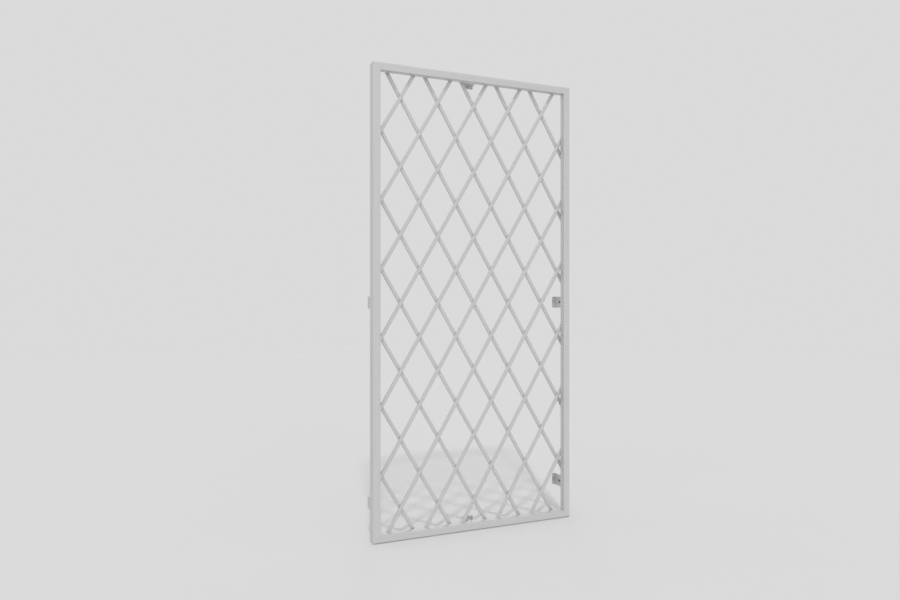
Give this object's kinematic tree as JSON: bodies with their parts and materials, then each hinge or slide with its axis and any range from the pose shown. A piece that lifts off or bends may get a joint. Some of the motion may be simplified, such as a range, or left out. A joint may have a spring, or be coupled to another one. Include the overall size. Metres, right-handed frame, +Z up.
{
  "type": "window security grille",
  "caption": "Framed diamond-lattice security grille: two layers of crossing bars in a rectangular aluminium frame, held off a window by adjustable stand-off brackets.",
  "frame": {"origin": "centre of the grille's outline, in the plane where the bracket feet rest on the window frame", "axes": "+X to the right seen from outside, +Y from outside towards the wall, +Z up"},
  "size_m": [0.644, 0.08, 1.37],
  "materials": {
    "frame_aluminium": "satin light-grey anodised, fine lengthwise grain",
    "bar_aluminium": "satin light-grey anodised, fine lengthwise grain",
    "bracket_aluminium": "satin light-grey anodised",
    "cleat_aluminium": "as-cast",
    "fastener_steel": "stainless, turned",
    "spacer_nylon": "natural grey nylon"
  },
  "bodies": {
    "window_feet": {"bracket_foot_left_mid": "bracket_aluminium", "bracket_foot_left_low": "bracket_aluminium", "bracket_foot_right_mid": "bracket_aluminium", "bracket_foot_right_low": "bracket_aluminium", "bracket_foot_top": "bracket_aluminium", "bracket_foot_bottom": "bracket_aluminium"},
    "grille": {"top_rail": "frame_aluminium", "bottom_rail": "frame_aluminium", "left_stile": "frame_aluminium", "right_stile": "frame_aluminium", "corner_cleat_top_left": "cleat_aluminium", "corner_cleat_top_right": "cleat_aluminium", "corner_cleat_bottom_left": "cleat_aluminium", "corner_cleat_bottom_right": "cleat_aluminium", "front_bar_01": "bar_aluminium", "front_bar_02": "bar_aluminium", "front_bar_03": "bar_aluminium", "front_bar_04": "bar_aluminium", "front_bar_05": "bar_aluminium", "front_bar_06": "bar_aluminium", "front_bar_07": "bar_aluminium", "front_bar_08": "bar_aluminium", "front_bar_09": "bar_aluminium", "front_bar_10": "bar_aluminium", "front_bar_11": "bar_aluminium", "rear_bar_01": "bar_aluminium", "rear_bar_02": "bar_aluminium", "rear_bar_03": "bar_aluminium", "rear_bar_04": "bar_aluminium", "rear_bar_05": "bar_aluminium", "rear_bar_06": "bar_aluminium", "rear_bar_07": "bar_aluminium", "rear_bar_08": "bar_aluminium", "rear_bar_09": "bar_aluminium", "rear_bar_10": "bar_aluminium", "rear_bar_11": "bar_aluminium", "bracket_arm_left_mid": "bracket_aluminium", "bracket_arm_left_low": "bracket_aluminium", "bracket_arm_right_mid": "bracket_aluminium", "bracket_arm_right_low": "bracket_aluminium", "bracket_arm_top": "bracket_aluminium", "bracket_arm_bottom": "bracket_aluminium", "corner_grub_screws": "fastener_steel", "crossing_screws": "fastener_steel", "front_bar_end_screws": "fastener_steel", "rear_bar_end_screws": "fastener_steel", "arm_screws": "fastener_steel", "clamp_screws": "fastener_steel", "clamp_washers": "fastener_steel", "rear_bar_spacers": "spacer_nylon"}
  },
  "joints": [
    {"name": "standoff_slide", "type": "slide", "parent": "window_feet", "child": "grille", "axis": [0, 1, 0], "range_m": [-0.008, 0.008]}
  ]
}
